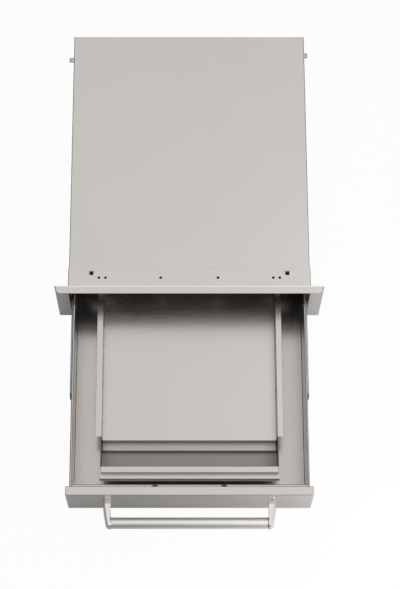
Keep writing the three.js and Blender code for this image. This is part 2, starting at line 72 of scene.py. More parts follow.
PLATE_LOW, PLATE_HIGH = corners_of("face_frame")
CAMERA_FROM_PLATE = np.array([-14.5, -1357, 3740]) * MM
CAMERA_DOWN_ANGLE = 70.3
FOCAL_PIXELS = 1763
PICTURE_HEIGHT = 589
SHIFT_PIXELS = (17, -0.4)
lens = bpy.data.cameras.new("photo_camera")
lens.sensor_width = 36
lens.lens = FOCAL_PIXELS / PICTURE_HEIGHT * lens.sensor_width
lens.shift_x, lens.shift_y = (pixels / PICTURE_HEIGHT for pixels in SHIFT_PIXELS)
camera = bpy.data.objects.new("photo_camera", lens)
camera.location = CAMERA_FROM_PLATE + [0, PLATE_LOW[Y], PLATE_HIGH[Z]]
camera.rotation_euler = (math.radians(90 - CAMERA_DOWN_ANGLE), 0, 0)
scene.collection.objects.link(camera)
scene.camera = camera
scene.view_settings.view_transform = "Standard"


# Housing shell: one sheet of brushed stainless, folded down into two sides and in again
# along the bottom. Round holes and square slots near its front join it to the collar,
# and a slot near each rear edge lets a zinc tab through.
def linear(hex_colour):
    """The linear RGBA of an sRGB hex colour."""
    parts = [int(hex_colour[i : i + 2], 16) / 255 for i in (1, 3, 5)]
    return [p / 12.92 if p <= 0.04045 else ((p + 0.055) / 1.055) ** 2.4 for p in parts] + [1]


def fill(tree, node, inputs):
    """Fills a node's inputs with values or with links, a link being the pair of another
    node and its output."""
    for key, value in inputs.items():
        if isinstance(value, tuple) and hasattr(value[0], "outputs"):
            tree.links.new(value[0].outputs[value[1]], node.inputs[key])
        else:
            node.inputs[key].default_value = value


def add_node(tree, kind, inputs=None, **settings):
    """Adds a node, sets its settings and fills its inputs."""
    made = tree.nodes.new("ShaderNode" + kind)
    for key, value in settings.items():
        setattr(made, key, value)
    fill(tree, made, inputs or {})
    return made


def new_material(name, metallic=1):
    """A material, its node tree and its shader."""
    material = bpy.data.materials.new(name)
    material.use_nodes = True
    shader = material.node_tree.nodes["Principled BSDF"]
    shader.inputs["Metallic"].default_value = metallic
    return material, material.node_tree, shader


MIXED_COLOUR = 2
POLISH_SPREAD = 0.05
RELIEF_DEPTH = 0.05 * MM
PLAIN_CORNER = 0.02 * MM
DEBURRED_EDGE = 0.25 * MM
CUT_PAST = 1 * MM


def brushed_stainless(name, light, dark, grain, line, roughness, relief):
    """Brushed stainless sheet. Fine lines run along the grain axis, so the light it throws
    back is drawn out across them; between them the sheet keeps a faint mill cloudiness.
    line is the width of a brush line in mm, drawn several times the real 0.2 mm so that
    it shows at all."""
    material, tree, shader = new_material(name)
    place = add_node(tree, "TexCoord")
    stretch = [1 / (line * MM)] * 3
    stretch[grain] = 1 / (BRUSH_LENGTH * MM)
    along = add_node(tree, "Mapping", {"Vector": (place, "Object"), "Scale": stretch})
    lines = add_node(
        tree, "TexNoise", {"Vector": (along, "Vector"), "Scale": 1, "Detail": 3, "Roughness": 0.6}
    )
    clouds = add_node(
        tree,
        "TexNoise",
        {"Vector": (place, "Object"), "Scale": 1 / (CLOUD_WIDTH * MM), "Detail": 2},
    )
    both = add_node(
        tree, "Mix", {0: 0.35, 2: (lines, "Fac"), 3: (clouds, "Fac")}, data_type="FLOAT"
    )
    tint = add_node(
        tree, "Mix", {0: (both, "Result"), 6: linear(dark), 7: linear(light)}, data_type="RGBA"
    )
    polish = add_node(
        tree,
        "MapRange",
        {
            "Value": (both, "Result"),
            "From Min": 0.3,
            "From Max": 0.7,
            "To Min": roughness - POLISH_SPREAD,
            "To Max": roughness + POLISH_SPREAD,
        },
    )
    scratch = add_node(
        tree, "Bump", {"Height": (lines, "Fac"), "Strength": relief, "Distance": RELIEF_DEPTH}
    )
    colour, rough, normal = (tint, MIXED_COLOUR), (polish, "Result"), (scratch, "Normal")
    fill(tree, shader, {"Base Color": colour, "Roughness": rough, "Normal": normal})
    return material


def rounded_line(corners, bend):
    """A folded line: straight runs between the corners, with each corner replaced by an
    arc of radius bend that leaves the runs bend * tan(half the turn) before it. bend is
    one radius, or a list with one for each corner."""
    corners = np.asarray(corners, float)
    bend = np.broadcast_to(bend, len(corners) - 2)[:, None]
    before = corners[1:-1] - corners[:-2]
    after = corners[2:] - corners[1:-1]
    before /= np.linalg.norm(before, axis=1)[:, None]
    after /= np.linalg.norm(after, axis=1)[:, None]
    side = np.sign(before[:, 0] * after[:, 1] - before[:, 1] * after[:, 0])[:, None]
    turn = np.arccos(np.clip((before * after).sum(1), -1, 1))[:, None]
    start = corners[1:-1] - before * bend * np.tan(turn / 2)
    centre = start + np.column_stack([-before[:, 1], before[:, 0]]) * side * bend
    angle = side * turn * np.linspace(0, 1, BEND_STEPS + 1)
    arm = (start - centre)[:, None, :]
    turned = np.stack(
        [
            arm[..., 0] * np.cos(angle) - arm[..., 1] * np.sin(angle),
            arm[..., 0] * np.sin(angle) + arm[..., 1] * np.cos(angle),
        ],
        -1,
    )
    arcs = (centre[:, None, :] + turned).reshape(-1, 2)
    return np.vstack([corners[:1], arcs, corners[-1:]])


def sheet_section(line, sheet):
    """The outline of a folded sheet: its middle line moved half a sheet to each side along
    the bisectors of its runs, forwards on one side and back on the other."""
    runs = np.diff(line, axis=0)
    runs /= np.linalg.norm(runs, axis=1)[:, None]
    arriving = np.vstack([runs[:1], runs])
    leaving = np.vstack([runs, runs[-1:]])
    middle = arriving + leaving
    middle /= np.linalg.norm(middle, axis=1)[:, None]
    reach = sheet / 2 / (middle * leaving).sum(1)
    offset = np.column_stack([-middle[:, 1], middle[:, 0]]) * reach[:, None]
    return np.vstack([line + offset, (line - offset)[::-1]])


def drawn_out(outline, axis, stations):
    """An outline, or one for each station, set at the stations along an axis. It holds the
    other two coordinates in x, y, z order."""
    outline = np.asarray(outline, float)
    others = [i for i in (X, Y, Z) if i != axis]
    loops = np.empty((len(stations), outline.shape[-2], 3))
    loops[:, :, axis] = np.asarray(stations, float)[:, None]
    loops[:, :, others[0]] = outline[..., 0]
    loops[:, :, others[1]] = outline[..., 1]
    return loops


def skin(name, loops, ends):
    """A closed mesh of quads from each loop to the next. ends is strip where a loop goes
    out along one side of a sheet and back along the other, face where it goes round a
    solid, and ring where the last loop joins the first."""
    rows, columns, _ = loops.shape
    index = np.arange(rows * columns).reshape(rows, columns)
    near, far = (index, np.roll(index, -1, 0)) if ends == "ring" else (index[:-1], index[1:])
    quads = np.stack([near, np.roll(near, -1, 1), np.roll(far, -1, 1), far], -1)
    faces = quads.reshape(-1, 4).tolist()
    if ends == "face":
        faces += index[[0, -1]].tolist()
    if ends == "strip":
        one = index[[0, -1], : columns // 2]
        other = index[[0, -1], columns // 2 :][:, ::-1]
        caps = np.stack([one[:, :-1], one[:, 1:], other[:, 1:], other[:, :-1]], -1)
        faces += caps.reshape(-1, 4).tolist()
    return closed_mesh(name, loops.reshape(-1, 3), faces)


def solid(name, outline, axis, stations):
    """A closed mesh of an outline, or one for each station, drawn out along an axis."""
    return skin(name, drawn_out(outline, axis, stations), "face")


def folded_sheet(name, line, sheet, axis, low, high):
    """A closed mesh of a folded sheet, its middle line drawn out from one corner to another."""
    ends = [low[axis], high[axis]]
    return skin(name, drawn_out(sheet_section(line, sheet), axis, ends), "strip")


def open_frame(name, outer, inner, low, high):
    """A closed mesh of a frame between two outlines, over the depth from low to high."""
    depths = [low[Y], high[Y], high[Y], low[Y]]
    return skin(name, drawn_out(np.array([outer, outer, inner, inner]), Y, depths), "ring")


def closed_mesh(name, places, faces):
    """A mesh of the given places and faces, with every face turned outwards."""
    mesh = bpy.data.meshes.new(name)
    mesh.from_pydata(places.tolist(), [], faces)
    shape = bmesh.new()
    shape.from_mesh(mesh)
    bmesh.ops.recalc_face_normals(shape, faces=shape.faces)
    shape.to_mesh(mesh)
    shape.free()
    return mesh


def circle(centre, radius, steps=24):
    """Points evenly round a centre, at a radius or at one radius for each loop."""
    angle = np.linspace(0, 2 * np.pi, steps, endpoint=False)
    spokes = np.column_stack([np.cos(angle), np.sin(angle)])
    return np.asarray(centre) + np.asarray(radius)[..., None, None] * spokes


def rectangle(low, high, radius=PLAIN_CORNER):
    """A rectangle whose corners are quarter arcs about their own centres."""
    low, high = np.asarray(low, float), np.asarray(high, float)
    radius = np.broadcast_to(radius, 4)
    quarter = np.radians(90 * np.arange(4)[:, None] + np.linspace(0, 90, CORNER_STEPS + 1))
    corner = np.array([high, [low[0], high[1]], low, [high[0], low[1]]])
    inward = np.array([[-1, -1], [1, -1], [1, 1], [-1, 1]])
    centre = corner + inward * radius[:, None]
    arm = np.stack([np.cos(quarter), np.sin(quarter)], -1) * radius[:, None, None]
    return (centre[:, None, :] + arm).reshape(-1, 2)


def cut_through(mesh, cutters):
    """Takes closed shapes out of a closed mesh, and gives the mesh that is left."""
    joined = bmesh.new()
    for cutter in cutters:
        joined.from_mesh(cutter)
        bpy.data.meshes.remove(cutter)
    tool_mesh = bpy.data.meshes.new("cutters")
    joined.to_mesh(tool_mesh)
    joined.free()
    tool = bpy.data.objects.new("cutters", tool_mesh)
    whole = bpy.data.objects.new("uncut", mesh)
    scene.collection.objects.link(tool)
    scene.collection.objects.link(whole)
    cut = whole.modifiers.new("cut", "BOOLEAN")
    cut.object = tool
    cut.solver = "EXACT"
    left = bpy.data.meshes.new_from_object(
        whole.evaluated_get(bpy.context.evaluated_depsgraph_get())
    )
    left.name = mesh.name
    for used in (tool, whole):
        bpy.data.objects.remove(used)
    bpy.data.meshes.remove(tool_mesh)
    bpy.data.meshes.remove(mesh)
    return left


def make_piece(mesh, material, body, stands_for=(), edge=DEBURRED_EDGE):
    """Puts a mesh in the scene as a piece that rides on its body. Bends are smooth, and
    sharp edges get the small round of a deburred sheet."""
    piece = bpy.data.objects.new(mesh.name, mesh)
    scene.collection.objects.link(piece)
    mesh.materials.clear()
    mesh.materials.append(material)
    mesh.shade_smooth()
    mesh.set_sharp_from_angle(angle=math.radians(SHARP_ANGLE))
    if edge:
        deburred = piece.modifiers.new("deburred", "BEVEL")
        deburred.width = edge
        deburred.segments = 2
        deburred.limit_method = "ANGLE"
        deburred.angle_limit = math.radians(SHARP_ANGLE)
    levelled = piece.modifiers.new("flats_shade_flat", "WEIGHTED_NORMAL")
    levelled.keep_sharp = True
    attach(piece, body)
    if stands_for:
        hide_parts(*stands_for)
    return piece


BRUSH_LENGTH = 90
CLOUD_WIDTH = 160
BEND_STEPS = 5
CORNER_STEPS = 4
SHARP_ANGLE = 38
SHELL_SHEET = 1.2 * MM
SHELL_BEND = 1.8 * MM
SHELL_FLANGE = 12 * MM
shell_low, shell_high = corners_of("housing_shell")
collar_low, collar_high = corners_of("frame_collar")
shell_steel = brushed_stainless(
    "brushed_stainless_housing", "#CDC9C5", "#C3BFBB", grain=Y, line=1.6, roughness=0.36,
    relief=0.25,
)
HOLE_PLACES = np.array([65.4, 191.4, 206.2]) * MM
HOLE_BACK = 33.3 * MM
HOLE_RADIUS = 3 * MM
SLOT_PLACE = 223.6 * MM
SLOT_BACK = 44 * MM
SLOT_SIDE = 8.5 * MM
SLOT_CORNER = 1 * MM
TAB_PLACES = {"left": np.array([619.8, 631.8]), "right": np.array([631.2, 644.1])}
TAB_SLOT_PLAY = 0.5 * MM
TAB_REACH = 5 * MM


def fixing_cuts():
    """The round holes and square slots that go through the collar and the shell."""
    heights = [shell_high[Z] - TAB_REACH, collar_high[Z] + TAB_REACH]
    cuts = []
    for place in np.concatenate([-HOLE_PLACES, HOLE_PLACES]):
        hole = circle([place, PLATE_LOW[Y] + HOLE_BACK], HOLE_RADIUS)
        cuts.append(solid("hole", hole, Z, heights))
    for place in (-SLOT_PLACE, SLOT_PLACE):
        centre = np.array([place, PLATE_LOW[Y] + SLOT_BACK])
        slot = rectangle(centre - SLOT_SIDE / 2, centre + SLOT_SIDE / 2, SLOT_CORNER)
        cuts.append(solid("slot", slot, Z, heights))
    return cuts


half = SHELL_SHEET / 2
left, right = shell_low[X] + half, shell_high[X] - half
bottom, top = shell_low[Z] + half, shell_high[Z] - half
shell_line = rounded_line(
    [
        [left + SHELL_FLANGE, bottom],
        [left, bottom],
        [left, top],
        [right, top],
        [right, bottom],
        [right - SHELL_FLANGE, bottom],
    ],
    SHELL_BEND,
)
shell = folded_sheet("shell_sheet", shell_line, SHELL_SHEET, Y, shell_low, shell_high)
tab_cuts = []
for side, sign in SIDES:
    bracket_low, bracket_high = corners_of("slide_rear_bracket_" + side)
    middle = (bracket_low[Z] + bracket_high[Z]) / 2
    tab_start, tab_end = PLATE_LOW[Y] + TAB_PLACES[side] * MM
    outline = rectangle(
        [tab_start - TAB_SLOT_PLAY, middle - 2 * TAB_SLOT_PLAY - half],
        [tab_end + TAB_SLOT_PLAY, middle + 2 * TAB_SLOT_PLAY + half],
    )
    wall = sign * shell_high[X]
    tab_cuts.append(solid("slot", outline, X, [wall - TAB_REACH, wall + TAB_REACH]))
shell = cut_through(shell, fixing_cuts() + tab_cuts)
make_piece(shell, shell_steel, "housing", ["housing_shell"])

# Housing floor: a flat stainless sheet under the shell, spot-welded to its two in-turned
# flanges. The unit stands on it inside the counter.
FLOOR_CORNER = 2 * MM
floor_low, floor_high = corners_of("housing_floor")
floor_plan = rectangle(floor_low[[X, Y]], floor_high[[X, Y]], FLOOR_CORNER)
floor_sheet = solid("floor_sheet", floor_plan, Z, [floor_low[Z], floor_high[Z]])
make_piece(floor_sheet, shell_steel, "housing", ["housing_floor"])


# Housing back: a shallow stainless pan pushed into the rear end of the shell, its
# flanges spot-welded to the shell's sides and top, and notched for the rear brackets.
def folded_pan(low, high, face, mouth, sheet, bend, lips=(0, 0)):
    """Loops of a pan folded from one sheet: over the outside from the middle of its face
    to its mouth, round the lips that turn in there, and back along the inside. Each loop
    is a rectangle drawn in by an amount on each axis, at a depth."""
    way = np.sign(mouth - face)
    arc = np.radians(np.linspace(0, 90, BEND_STEPS + 1))
    deep = abs(mouth - face)
    curl = bend if max(lips) else LIPLESS_CURL * sheet
    outer_in = bend * (1 - np.sin(arc))
    outer_at = bend * (1 - np.cos(arc))
    lip_in = curl * (1 - np.cos(arc))
    lip_at = deep - curl + curl * np.sin(arc)
    turning = INNER_TURN * bend
    inner = sheet + np.array([0, 0, turning, bend])
    inner_at = np.array([deep - sheet - LOOP_GAP, sheet + bend, sheet + turning, sheet])
    mouths = []
    for lip in lips:
        edge = max(lip, sheet)
        drawn = np.minimum(lip_in, LIP_SHARE * edge if lip else LIPLESS_CURL * sheet)
        inside = inner.copy()
        inside[0] += LOOP_GAP
        mouths.append(np.concatenate([outer_in, drawn, [edge, edge], inside]))
    depths = np.concatenate([outer_at, lip_at, [deep, deep - sheet], inner_at])
    drawn_in = np.column_stack(mouths)
    round_corner = np.clip(bend - drawn_in.min(1), LEAST_CORNER, None)
    outlines = [
        rectangle(np.asarray(low) + inset, np.asarray(high) - inset, radius)
        for inset, radius in zip(drawn_in, round_corner)
    ]
    return np.array(outlines), face + way * depths


LOOP_GAP = 0.01 * MM
LEAST_CORNER = 0.05 * MM
LIPLESS_CURL = 0.2
LIP_SHARE = 0.8
INNER_TURN = 0.3
NOTCH_PLAY = 0.5 * MM
BACK_NOTCH_CORNER = 2 * MM
back_low, back_high = corners_of("housing_back")
back_outlines, back_depths = folded_pan(
    back_low[[X, Z]], back_high[[X, Z]], back_high[Y], back_low[Y], SHELL_SHEET, SHELL_BEND
)
back_sheet = solid("back_pan", back_outlines, Y, back_depths)
foot_low, foot_high = corners_of("slide_rear_bracket_right")
notch = rectangle(
    [back_low[X] - NOTCH_PLAY, foot_low[Z] - NOTCH_PLAY],
    [back_high[X] + NOTCH_PLAY, foot_high[Z] + NOTCH_PLAY],
    BACK_NOTCH_CORNER,
)
notch_ends = [back_low[Y] - NOTCH_PLAY, back_high[Y] - SHELL_SHEET]
notch_cut = solid("notch", notch, Y, notch_ends)
back_sheet = cut_through(back_sheet, [notch_cut])
make_piece(back_sheet, shell_steel, "housing", ["housing_back"])


# Flange plate: a flat plate of thicker brushed stainless with ears all round, welded to
# the collar that passes through its opening. The counter's front shows round its edge.
# Its colour is a lighter copy of the frame's steel: painted light that brightens its face and ears.
frame_steel = brushed_stainless(
    "brushed_stainless_frame", "#CBC7C3", "#BFBBB7", grain=X, line=1.4, roughness=0.3,
    relief=0.2,
)
# Painted light: the same steel as the frame, drawn lighter so that the plate's front and ears read
# brighter.
painted_light_plate_steel = brushed_stainless(
    "brushed_stainless_plate_painted_light", "#EEEAE6", "#E4DFDB", grain=X, line=1.4, roughness=0.3,
    relief=0.2,
)
OPENING_PLAY = 0.2 * MM
PLATE_CORNER = 1.5 * MM
OPENING_CORNER = 2.5 * MM
plate_outer = rectangle(PLATE_LOW[[X, Z]], PLATE_HIGH[[X, Z]], PLATE_CORNER)
plate_inner = rectangle(
    collar_low[[X, Z]] - OPENING_PLAY, collar_high[[X, Z]] + OPENING_PLAY, OPENING_CORNER
)
plate = open_frame("flange_plate", plate_outer, plate_inner, PLATE_LOW, PLATE_HIGH)
make_piece(plate, painted_light_plate_steel, "housing", ["face_frame"])

# Collar: a ring of stainless sheet that carries the plate on the front of the housing,
# with the fixing holes and slots in its top. Each slot lies in a faint raised pad.
COLLAR_SHEET = 1.5 * MM
PAD_SIZE = np.array([20, 12]) * MM
PAD_RISE = 0.4 * MM
PAD_SINK = 0.3 * MM
PAD_STEP = 0.02 * MM
PAD_SLOPE = 1 * MM
PAD_RIM = 0.4 * MM
PAD_CORNER = 2.5 * MM
PAD_TOP_CORNER = 2 * MM
COLLAR_CORNER = 2.3 * MM
COLLAR_INNER_CORNER = 0.8 * MM
collar_outer = rectangle(collar_low[[X, Z]], collar_high[[X, Z]], COLLAR_CORNER)
collar_inner = rectangle(
    collar_low[[X, Z]] + COLLAR_SHEET, collar_high[[X, Z]] - COLLAR_SHEET, COLLAR_INNER_CORNER
)
collar = open_frame("collar_ring", collar_outer, collar_inner, collar_low, collar_high)
collar = cut_through(collar, fixing_cuts())
make_piece(collar, frame_steel, "housing", ["frame_collar"])
for side, sign in SIDES:
    centre = np.array([sign * SLOT_PLACE, PLATE_LOW[Y] + SLOT_BACK])
    half_pad, half_slot = PAD_SIZE / 2, SLOT_SIDE / 2
    foot = rectangle(centre - half_pad, centre + half_pad, PAD_CORNER)
    shoulder = rectangle(
        centre - half_pad + PAD_SLOPE, centre + half_pad - PAD_SLOPE, PAD_TOP_CORNER
    )
    mouth = rectangle(centre - half_slot, centre + half_slot, SLOT_CORNER)
    rim = rectangle(centre - half_slot - PAD_RIM, centre + half_slot + PAD_RIM, SLOT_CORNER)
    heights = collar_high[Z] + np.array([-PAD_SINK, PAD_STEP, PAD_RISE, PAD_RISE, 0, -PAD_SINK])
    pad_loops = drawn_out(np.array([foot, foot, shoulder, rim, mouth, mouth]), Z, heights)
    pad = skin("slot_pad_" + side, pad_loops, "ring")
    make_piece(pad, frame_steel, "housing", edge=0)

# Rain visor: a stainless angle welded along the plate's top edge, which throws rain off
# the drawer. Its front corners are rounded in plan, and the weld is ground flush.
VISOR_SHEET = 1.5 * MM
VISOR_CORNER = 10 * MM
VISOR_BEND = 0.85 * MM
VISOR_STEPS = 9
SEAM_DEPTH = 0.4 * MM
SEAM_SINK = 0.02 * MM
visor_low, visor_high = corners_of("rain_visor")
behind, under = visor_high[Y] - VISOR_SHEET / 2, visor_high[Z] - VISOR_SHEET / 2
visor_line = rounded_line(
    [[visor_low[Y], under], [behind, under], [behind, visor_low[Z]]], VISOR_BEND
)
turn = np.linspace(0, np.pi / 2, VISOR_STEPS)
along_corner = visor_low[X] + VISOR_CORNER * (1 - np.cos(turn))
front_there = visor_low[Y] + VISOR_CORNER * (1 - np.sin(turn))
visor_stations = np.concatenate([along_corner, -along_corner[::-1]])
visor_fronts = np.concatenate([front_there, front_there[::-1]])
visor_loops = drawn_out(sheet_section(visor_line, VISOR_SHEET), X, visor_stations)
visor_loops[:, [0, -1], Y] = visor_fronts[:, None]
make_piece(
    skin("visor_angle", visor_loops, "strip"), frame_steel, "housing", ["rain_visor"]
)
seam_low = [visor_high[Y] - VISOR_SHEET, visor_high[Z] - VISOR_SHEET]
seam_high = [PLATE_LOW[Y] + SEAM_DEPTH, visor_high[Z] - SEAM_SINK]
seam_ends = [visor_low[X], visor_high[X]]
seam = solid("visor_weld", rectangle(seam_low, seam_high), X, seam_ends)
make_piece(seam, frame_steel, "housing", edge=0)


# Telescopic slides: on each side three members rolled from zinc-plated steel run in one
# another on two rows of caged balls. The outer one is screwed to the housing, the inner
# one to the drawer, and the middle one is pulled along at half the drawer's speed.
def zinc_plated(name, light, dark):
    """Bright zinc with a blue passivation: a cool grey metal with small soft-edged
    crystals and faint rolling lines along the strip."""
    material, tree, shader = new_material(name)
    place = add_node(tree, "TexCoord")
    spangle = add_node(
        tree, "TexVoronoi", {"Vector": (place, "Object"), "Scale": 1 / (SPANGLE_WIDTH * MM)}
    )
    drawn = add_node(
        tree,
        "Mapping",
        {"Vector": (place, "Object"), "Scale": (1 / MM, 1 / (ROLLED_LENGTH * MM), 1 / MM)},
    )
    rolled = add_node(tree, "TexNoise", {"Vector": (drawn, "Vector"), "Scale": 0.5, "Detail": 2})
    mixed = add_node(
        tree, "Mix", {0: 0.6, 2: (spangle, "Distance"), 3: (rolled, "Fac")}, data_type="FLOAT"
    )
    tint = add_node(
        tree, "Mix", {0: (mixed, "Result"), 6: linear(light), 7: linear(dark)}, data_type="RGBA"
    )
    grip = add_node(tree, "MapRange", {"Value": (mixed, "Result"), "To Min": 0.3, "To Max": 0.5})
    relief = add_node(
        tree, "Bump", {"Height": (rolled, "Fac"), "Strength": 0.2, "Distance": RELIEF_DEPTH}
    )
    colour, rough, normal = (tint, MIXED_COLOUR), (grip, "Result"), (relief, "Normal")
    fill(tree, shader, {"Base Color": colour, "Roughness": rough, "Normal": normal})
    return material


def arc_line(centre, radius, start, stop, steps=9):
    """Points of an arc about a centre, from one angle to another in degrees."""
    angle = np.radians(np.linspace(start, stop, steps))
    return np.asarray(centre) + radius * np.column_stack([np.cos(angle), np.sin(angle)])


SPANGLE_WIDTH = 6
ROLLED_LENGTH = 60
SLIDE_SHEET = 1.2 * MM
BALL_RADIUS = 2 * MM
RACE_PLAY = 0.15 * MM
RACE_RADIUS = BALL_RADIUS + RACE_PLAY + SLIDE_SHEET / 2
FOLD_RADIUS = 0.75 * MM
OUTER_BALL = np.array([5.4, 18.6]) * MM
BALL_LINE_ANGLE = 310.9
INNER_BALL = OUTER_BALL + 2 * RACE_RADIUS * np.array(
    [math.cos(math.radians(BALL_LINE_ANGLE)), math.sin(math.radians(BALL_LINE_ANGLE))]
)
OUTER_WEB, MIDDLE_WEB, INNER_WEB = 0.7 * MM, 3.4 * MM, 12 * MM
OUTER_CORNER = 1.1 * MM
OUTER_SHOULDER = 19.2 * MM
SLOT_LENGTH, SLOT_WIDTH = 22 * MM, 5 * MM
SLOT_STATIONS = np.array([0.12, 0.3, 0.5, 0.7, 0.88])
STRIP_EDGE = 0.15 * MM
wall_inside = shell_high[X] - SHELL_SHEET
slide_low, slide_high = corners_of("slide_outer_right")
slide_height = (slide_low[Z] + slide_high[Z]) / 2
zinc_steel = zinc_plated("blue_zinc_plated_steel", "#B9C2CA", "#9AA5AF")


def fold_beside(ball, web, turned_in):
    """Centre and end angle of the small fold between a web and the race about a ball,
    found where a circle beside the web touches the circle of the race."""
    across = web + turned_in * FOLD_RADIUS
    back = ball[0] - across
    drop = math.sqrt((RACE_RADIUS + FOLD_RADIUS) ** 2 - back**2)
    return [across, ball[1] - drop], math.degrees(math.atan2(drop, back))


def mirrored_line(half_line):
    """The lower half as the mirror image of the upper, then the upper half."""
    return np.vstack([half_line[::-1] * [1, -1], half_line])


fold = [OUTER_WEB + OUTER_CORNER, OUTER_SHOULDER - OUTER_CORNER]
outer_line = np.vstack(
    [arc_line(fold, OUTER_CORNER, 180, 90, 5), arc_line(OUTER_BALL, RACE_RADIUS, 160, 20, 13)]
)
fold, fold_angle = fold_beside(OUTER_BALL, MIDDLE_WEB, 1)
middle_line = np.vstack(
    [
        arc_line(fold, FOLD_RADIUS, 180, fold_angle, 6),
        arc_line(OUTER_BALL, RACE_RADIUS, 180 + fold_angle, BALL_LINE_ANGLE, 8)[1:],
        arc_line(INNER_BALL, RACE_RADIUS, BALL_LINE_ANGLE - 180, 55, 8)[1:],
    ]
)
fold, fold_angle = fold_beside(INNER_BALL, INNER_WEB, -1)
inner_line = np.vstack(
    [
        arc_line(fold, FOLD_RADIUS, 0, fold_angle, 6),
        arc_line(INNER_BALL, RACE_RADIUS, 180 + fold_angle, 205, 11)[1:],
    ]
)


def slide_piece(name, node, line, sheet, sign, body, web, material, stations):
    """A rolled member over the length of its CAD node, with oval slots along its web."""
    outline = sheet_section(mirrored_line(line), sheet)
    outline = np.column_stack([sign * (wall_inside - outline[:, 0]), slide_height + outline[:, 1]])
    low, high = corners_of(node)
    member = skin(name, drawn_out(outline, Y, [low[Y], high[Y]]), "strip")
    cuts = []
    middle = sign * (wall_inside - web)
    for station in low[Y] + stations * (high[Y] - low[Y]):
        size = np.array([SLOT_LENGTH, SLOT_WIDTH]) / 2
        centre = np.array([station, slide_height])
        oval = rectangle(centre - size, centre + size, SLOT_WIDTH / 2 - LOOP_GAP)
        cuts.append(solid("slot", oval, X, [middle - CUT_PAST, middle + CUT_PAST]))
    return make_piece(cut_through(member, cuts), material, body, [node], edge=STRIP_EDGE)


for side, sign in SIDES:
    for part, line, web, body, stations in (
        ("outer", outer_line, OUTER_WEB, "housing", SLOT_STATIONS),
        ("middle", middle_line, MIDDLE_WEB, "slide_middle_member_" + side, SLOT_STATIONS[1:4]),
        ("inner", inner_line, INNER_WEB, "drawer", SLOT_STATIONS[[0, 2, 4]]),
    ):
        slide_piece(
            f"{part}_member_{side}", f"slide_{part}_{side}", line, SLIDE_SHEET, sign, body, web,
            zinc_steel, stations,
        )


# Ball cages: thin pressed channels between the members that space the hardened balls.
# The balls stand half out of the cage's edges and roll in the races of both members.
def bearing_steel(name):
    """Hardened chrome steel, ground and tumbled, nearly a mirror, under a film of grease
    that shows as slightly uneven gloss."""
    material, tree, shader = new_material(name)
    place = add_node(tree, "TexCoord")
    film = add_node(tree, "TexNoise", {"Vector": (place, "Object"), "Scale": 1 / (FILM_WIDTH * MM)})
    gloss = add_node(tree, "MapRange", {"Value": (film, "Fac"), "To Min": 0.12, "To Max": 0.3})
    tint = add_node(
        tree,
        "Mix",
        {0: (film, "Fac"), 6: linear("#D8DADC"), 7: linear("#C2C0B4")},
        data_type="RGBA",
    )
    fill(tree, shader, {"Base Color": (tint, MIXED_COLOUR), "Roughness": (gloss, "Result")})
    return material


def ball_rows(name, centres, radius, rings=8, spokes=14):
    """Balls at many centres in one mesh: rings of latitude between two poles, with the
    same faces repeated for each ball."""
    tilt = np.linspace(0, np.pi, rings + 1)[1:-1]
    turn = np.linspace(0, 2 * np.pi, spokes, endpoint=False)
    tilt, turn = np.meshgrid(tilt, turn, indexing="ij")
    body = np.stack([np.sin(tilt) * np.cos(turn), np.cos(tilt), np.sin(tilt) * np.sin(turn)], -1)
    points = np.vstack([[[0, 1, 0]], body.reshape(-1, 3), [[0, -1, 0]]]) * radius
    index = 1 + np.arange((rings - 1) * spokes).reshape(rings - 1, spokes)
    beside = np.roll(index, -1, 1)
    quads = np.stack([index[:-1], beside[:-1], beside[1:], index[1:]], -1).reshape(-1, 4)
    top = np.column_stack([np.zeros(spokes, int), beside[0], index[0]])
    last = np.full(spokes, len(points) - 1)
    foot = np.column_stack([last, index[-1], beside[-1]])
    steps = len(points) * np.arange(len(centres))[:, None, None]
    places = (centres[:, None, :] + points).reshape(-1, 3)
    faces = []
    for pattern in (quads, top, foot):
        faces += (pattern + steps).reshape(-1, pattern.shape[1]).tolist()
    return closed_mesh(name, places, faces)


FILM_WIDTH = 3
CAGE_SHEET = 0.5 * MM
CAGE_BEND = 0.8 * MM
BALLS_IN_ROW = 16
OUTER_CAGE_WEB, OUTER_CAGE_RISE = 2.05 * MM, 17.8 * MM
INNER_CAGE_WEB, INNER_CAGE_RISE = 5 * MM, 14.3 * MM
CAGES = (
    ("outer", OUTER_CAGE_WEB, OUTER_CAGE_RISE, OUTER_BALL),
    ("inner", INNER_CAGE_WEB, INNER_CAGE_RISE, INNER_BALL),
)
ball_steel = bearing_steel("ground_bearing_steel")
for side, sign in SIDES:
    for which, web, rise, ball in CAGES:
        node = f"ball_cage_{which}_{side}"
        body = f"{which}_cage_{side}"
        cage_line = rounded_line([[web, 0], [web, rise], [ball[0], rise]], CAGE_BEND)[1:]
        slide_piece(
            f"{which}_cage_strip_{side}", node, cage_line, CAGE_SHEET, sign, body, web, zinc_steel,
            SLOT_STATIONS,
        )
        low, high = corners_of(node)
        pitch = (high[Y] - low[Y]) / BALLS_IN_ROW
        stations = low[Y] + pitch * (np.arange(BALLS_IN_ROW) + 0.5)
        heights = slide_height + np.array([-1, 1])[:, None] * ball[1]
        grid = np.broadcast_arrays(sign * (wall_inside - ball[0]), stations, heights)
        centres = np.stack(grid, -1).reshape(-1, 3)
        rows = ball_rows(f"{which}_balls_{side}", centres, BALL_RADIUS)
        make_piece(rows, ball_steel, body, edge=0)

